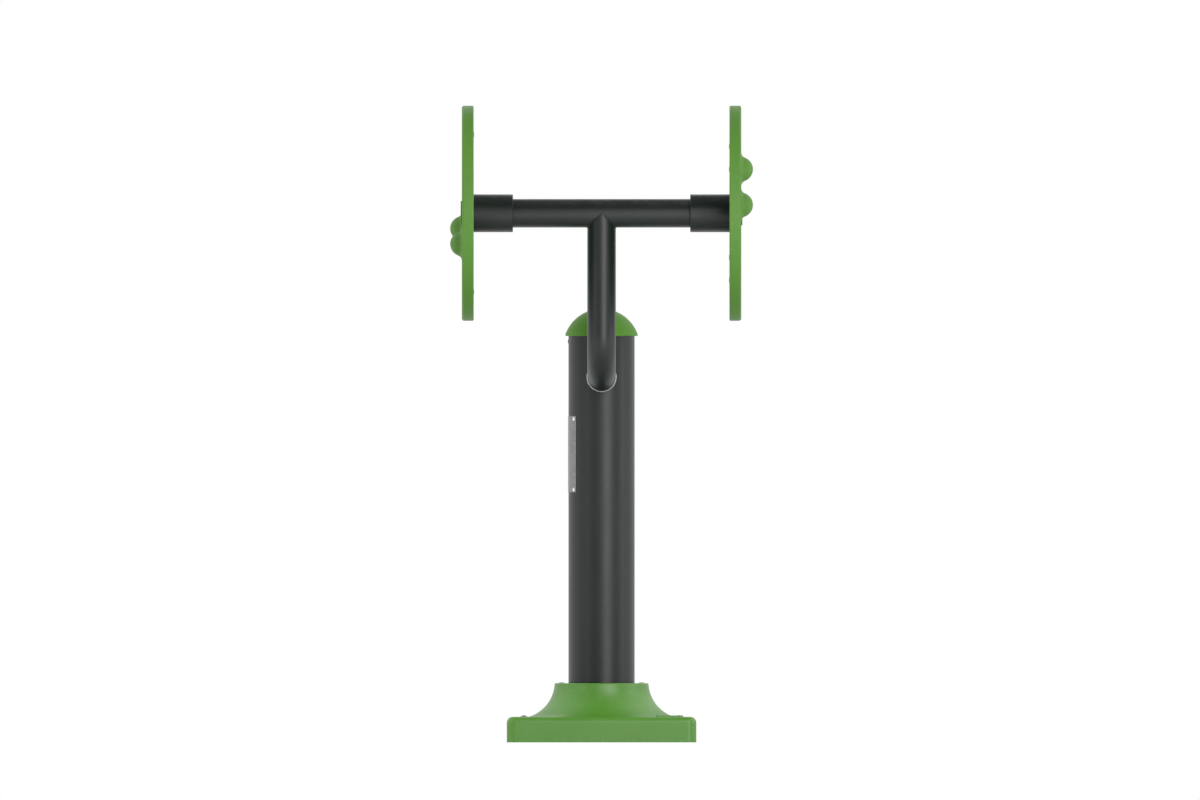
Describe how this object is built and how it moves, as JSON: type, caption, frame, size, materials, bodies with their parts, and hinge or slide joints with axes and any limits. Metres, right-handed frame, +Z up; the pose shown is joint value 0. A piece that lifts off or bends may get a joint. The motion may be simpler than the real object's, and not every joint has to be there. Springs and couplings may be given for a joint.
{
  "type": "outdoor fitness station",
  "caption": "Outdoor fitness station: post with a covered base and a bent arm that carries free-turning hand wheels with domed palm grips on ball-bearing hubs.",
  "frame": {"origin": "on the post's axis at floor level, in the middle of the anchor holes", "axes": "+Z up along the post; -Y towards the wheels' side, which the picture shows as the front; the wheels turn about a line parallel to X"},
  "size_m": [0.6392, 0.617, 1.3435],
  "materials": {
    "grey_powder_coat": "satin powder coat, dark grey",
    "green_moulding": "fine-grained moulded plastic, leaf green",
    "galvanised_steel": "hot-dip galvanised",
    "machined_steel": "turned",
    "bearing_steel": "ground and polished",
    "zinc_steel": "bright zinc",
    "cover_screws": "stainless, satin",
    "dark_screws": "blackened stainless",
    "bare_weld": "pale seam around the arm",
    "name_plate": "brushed, bare",
    "rivets": "satin",
    "seal_rubber": "matt",
    "cage_brass": "satin"
  },
  "bodies": {
    "stand": {"base_plate": "galvanised_steel", "base_gussets": "galvanised_steel", "post_tube": "grey_powder_coat", "base_cover_front": "green_moulding", "base_cover_rear": "green_moulding", "cover_ring_screws": "cover_screws", "cover_lap_screws": "cover_screws", "post_cap": "green_moulding", "post_cap_screws": "dark_screws", "name_plate": "name_plate", "name_plate_rivets": "rivets", "arm_tube": "grey_powder_coat", "arm_weld_ring": "bare_weld", "cross_tube": "grey_powder_coat", "cross_tube_weld": "grey_powder_coat", "left_axle": "machined_steel", "left_inner_bearing_inner_ring": "bearing_steel", "left_outer_bearing_inner_ring": "bearing_steel", "left_bearing_spacer": "machined_steel", "left_axle_washer": "zinc_steel", "left_axle_nut": "zinc_steel", "right_axle": "machined_steel", "right_inner_bearing_inner_ring": "bearing_steel", "right_outer_bearing_inner_ring": "bearing_steel", "right_bearing_spacer": "machined_steel", "right_axle_washer": "zinc_steel", "right_axle_nut": "zinc_steel"},
    "left_wheel": {"left_hub": "grey_powder_coat", "left_shaft_seal": "seal_rubber", "left_inner_bearing_outer_ring": "bearing_steel", "left_outer_bearing_outer_ring": "bearing_steel", "left_hub_circlip": "machined_steel", "left_flange_screws": "zinc_steel", "left_wheel_face": "green_moulding", "left_wheel_back": "green_moulding", "left_back_screws": "dark_screws", "left_hub_cap": "green_moulding"},
    "left_inner_bearing_rollers": {"left_inner_bearing_balls": "bearing_steel", "left_inner_bearing_cage": "cage_brass"},
    "left_outer_bearing_rollers": {"left_outer_bearing_balls": "bearing_steel", "left_outer_bearing_cage": "cage_brass"},
    "right_wheel": {"right_hub": "grey_powder_coat", "right_shaft_seal": "seal_rubber", "right_inner_bearing_outer_ring": "bearing_steel", "right_outer_bearing_outer_ring": "bearing_steel", "right_hub_circlip": "machined_steel", "right_flange_screws": "zinc_steel", "right_wheel_face": "green_moulding", "right_wheel_back": "green_moulding", "right_back_screws": "dark_screws", "right_hub_cap": "green_moulding"},
    "right_inner_bearing_rollers": {"right_inner_bearing_balls": "bearing_steel", "right_inner_bearing_cage": "cage_brass"},
    "right_outer_bearing_rollers": {"right_outer_bearing_balls": "bearing_steel", "right_outer_bearing_cage": "cage_brass"}
  },
  "joints": [
    {"name": "left_wheel_spin", "type": "hinge", "parent": "stand", "child": "left_wheel", "pos_m": [-0.2404, -0.19, 1.1165], "axis": [1, 0, 0], "continuous": true},
    {"name": "left_inner_bearing_roll", "type": "hinge", "parent": "stand", "child": "left_inner_bearing_rollers", "pos_m": [-0.2129, -0.19, 1.1165], "axis": [1, 0, 0], "continuous": true},
    {"name": "left_outer_bearing_roll", "type": "hinge", "parent": "stand", "child": "left_outer_bearing_rollers", "pos_m": [-0.2679, -0.19, 1.1165], "axis": [1, 0, 0], "continuous": true},
    {"name": "right_wheel_spin", "type": "hinge", "parent": "stand", "child": "right_wheel", "pos_m": [0.2404, -0.19, 1.1165], "axis": [1, 0, 0], "continuous": true},
    {"name": "right_inner_bearing_roll", "type": "hinge", "parent": "stand", "child": "right_inner_bearing_rollers", "pos_m": [0.2129, -0.19, 1.1165], "axis": [1, 0, 0], "continuous": true},
    {"name": "right_outer_bearing_roll", "type": "hinge", "parent": "stand", "child": "right_outer_bearing_rollers", "pos_m": [0.2679, -0.19, 1.1165], "axis": [1, 0, 0], "continuous": true}
  ],
  "couplings": [
    {"joint": "left_inner_bearing_roll", "follows": "left_wheel_spin", "ratio": 0.6031},
    {"joint": "left_outer_bearing_roll", "follows": "left_wheel_spin", "ratio": 0.6031},
    {"joint": "right_inner_bearing_roll", "follows": "right_wheel_spin", "ratio": 0.6031},
    {"joint": "right_outer_bearing_roll", "follows": "right_wheel_spin", "ratio": 0.6031}
  ]
}
